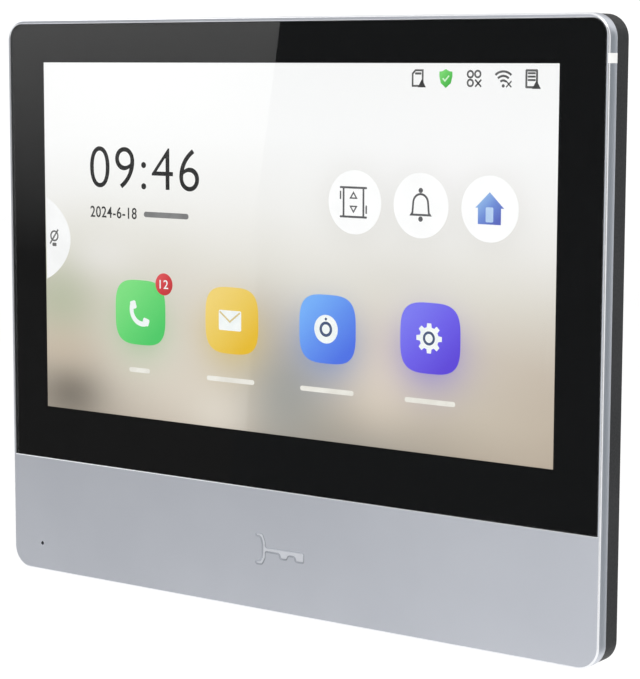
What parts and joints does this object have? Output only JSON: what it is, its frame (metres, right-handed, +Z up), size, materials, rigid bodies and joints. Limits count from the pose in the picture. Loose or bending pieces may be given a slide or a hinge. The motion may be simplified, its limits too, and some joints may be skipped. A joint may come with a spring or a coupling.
{
  "type": "video intercom monitor",
  "caption": "Wall-mounted indoor intercom screen: black glass over a lit display in a thin metal frame with a bare lower panel, hooked on a steel wall plate.",
  "frame": {"origin": "on the wall, midway between the two wall-box screws, which is also the middle of the front's height and width", "axes": "+X to the viewer's right, +Y into the wall, +Z up; the screen faces -Y"},
  "size_m": [0.1782, 0.022, 0.1456],
  "materials": {
    "satin_aluminium": "fine satin, polished bevel",
    "white_plastic": "moulded",
    "cover_glass": "gloss, black print behind the border",
    "black_tape": "matt foam tape",
    "black_foam": "open foam",
    "display_glass": "polarised panel",
    "clear_acrylic": "clear, dotted back",
    "sheet_steel": "rolled sheet",
    "zinc_screws": "zinc plated",
    "black_screws": "black oxide",
    "flat_cable": "polyester film",
    "circuit_board": "solder resist over glass cloth",
    "chip_plastic": "moulded resin",
    "black_plastic": "moulded",
    "battery_steel": "plated can",
    "gold_contacts": "gold flash",
    "green_plastic": "moulded",
    "connector_plastic": "moulded nylon",
    "speaker_paper": "pressed paper",
    "magnet_steel": "plated yoke",
    "wire_sleeve": "drawn sleeve",
    "microphone_can": "drawn can",
    "black_rubber": "moulded",
    "brass_disc": "rolled disc with white ceramic",
    "dark_plastic": "fine spark texture",
    "bracket_steel": "zinc plated sheet"
  },
  "bodies": {
    "wall_bracket": {"wall_bracket": "bracket_steel"},
    "tamper_plunger": {"tamper_plunger": "white_plastic"},
    "reset_button": {"reset_button": "white_plastic"},
    "monitor": {"antenna_cable": "wire_sleeve", "antenna_insert": "white_plastic", "battery_holder": "black_plastic", "board_connectors": "connector_plastic", "board_screws": "zinc_screws", "clock_battery": "battery_steel", "cover_glass": "cover_glass", "display_flat_cable": "flat_cable", "display_gasket": "black_foam", "display_panel": "display_glass", "display_tray": "sheet_steel", "front_frame": "satin_aluminium", "glass_adhesive": "black_tape", "key_leads": "wire_sleeve", "key_piezo_disc": "brass_disc", "key_sensor_board": "circuit_board", "light_guide": "clear_acrylic", "main_board": "circuit_board", "microphone": "microphone_can", "microphone_boot": "black_rubber", "microphone_leads": "wire_sleeve", "network_contacts": "gold_contacts", "network_socket": "black_plastic", "processor": "chip_plastic", "processor_shield": "sheet_steel", "radio_module": "chip_plastic", "rear_cover": "dark_plastic", "rear_cover_screws": "black_screws", "reset_switch": "black_plastic", "speaker_cone": "speaker_paper", "speaker_frame": "black_plastic", "speaker_gasket": "black_foam", "speaker_leads": "wire_sleeve", "speaker_magnet": "magnet_steel", "support_plate": "sheet_steel", "support_plate_screws": "zinc_screws", "tamper_switch": "black_plastic", "terminal_header": "green_plastic", "terminal_plug": "green_plastic", "terminal_screws": "zinc_screws", "wifi_antenna": "circuit_board"}
  },
  "joints": [
    {"name": "lift_off", "type": "slide", "parent": "wall_bracket", "child": "monitor", "axis": [0, 0, 1], "range_m": [0, 0.005]},
    {"name": "tamper_press", "type": "slide", "parent": "monitor", "child": "tamper_plunger", "axis": [0, -1, 0], "range_m": [0, 0.0012], "stiffness_N_per_m": 800},
    {"name": "reset_press", "type": "slide", "parent": "monitor", "child": "reset_button", "axis": [0, -1, 0], "range_m": [0, 0.0004], "stiffness_N_per_m": 2000}
  ]
}
